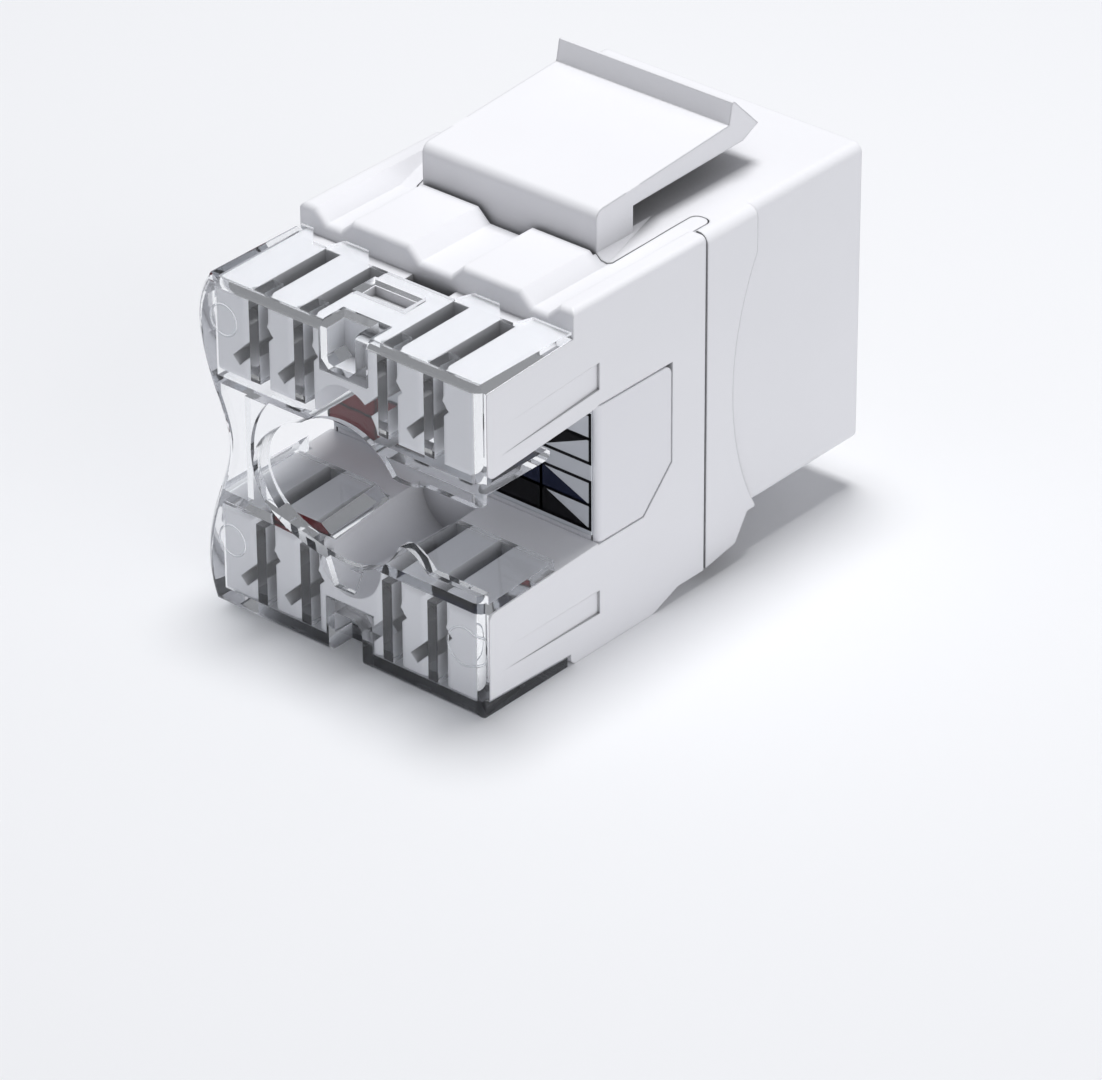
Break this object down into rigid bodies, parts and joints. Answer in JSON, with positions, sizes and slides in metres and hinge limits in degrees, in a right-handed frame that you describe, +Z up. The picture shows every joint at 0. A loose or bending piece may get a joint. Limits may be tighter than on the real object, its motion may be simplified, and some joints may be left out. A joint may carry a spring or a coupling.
{
  "type": "keystone jack",
  "caption": "Snap-in modular wall jack in white plastic with a clear cap that presses the wires into its contacts from behind.",
  "frame": {"origin": "bottom centre of the bounding box, under the middle of the jack", "axes": "+Y from the wire cap at the rear to the plug opening, +Z up through the latch, +X to the right seen from the rear"},
  "size_m": [0.0154, 0.0254, 0.0201],
  "materials": {
    "white_housing": "fine satin",
    "white_insert": "fine satin",
    "label_paper": "printed, coated",
    "board_laminate": "lacquered",
    "carrier_plastic": "satin",
    "clear_plastic": "clear, polished",
    "tinned_bronze": "tinned",
    "gilt_bronze": "gilded"
  },
  "bodies": {
    "jack": {"front_housing": "white_housing", "rear_housing": "white_housing", "label_holder": "white_insert", "wiring_label": "label_paper", "circuit_board": "board_laminate", "contact_carrier": "carrier_plastic", "idc_contact_upper_1": "tinned_bronze", "idc_contact_upper_2": "tinned_bronze", "idc_contact_upper_3": "tinned_bronze", "idc_contact_upper_4": "tinned_bronze", "idc_contact_lower_1": "tinned_bronze", "idc_contact_lower_2": "tinned_bronze", "idc_contact_lower_3": "tinned_bronze", "idc_contact_lower_4": "tinned_bronze", "plug_contact_1": "gilt_bronze", "plug_contact_2": "gilt_bronze", "plug_contact_3": "gilt_bronze", "plug_contact_4": "gilt_bronze", "plug_contact_5": "gilt_bronze", "plug_contact_6": "gilt_bronze", "plug_contact_7": "gilt_bronze", "plug_contact_8": "gilt_bronze"},
    "latch": {"latch_arm": "white_housing"},
    "cap": {"termination_cap": "clear_plastic"}
  },
  "joints": [
    {"name": "latch_bend", "type": "hinge", "parent": "jack", "child": "latch", "pos_m": [0.0002, 0.00028, 0.01785], "axis": [-1, 0, 0], "range_deg": [0, 9], "stiffness_Nm_per_rad": 0.3},
    {"name": "cap_pull", "type": "slide", "parent": "jack", "child": "cap", "axis": [0, -1, 0], "range_m": [0, 0.008]}
  ]
}
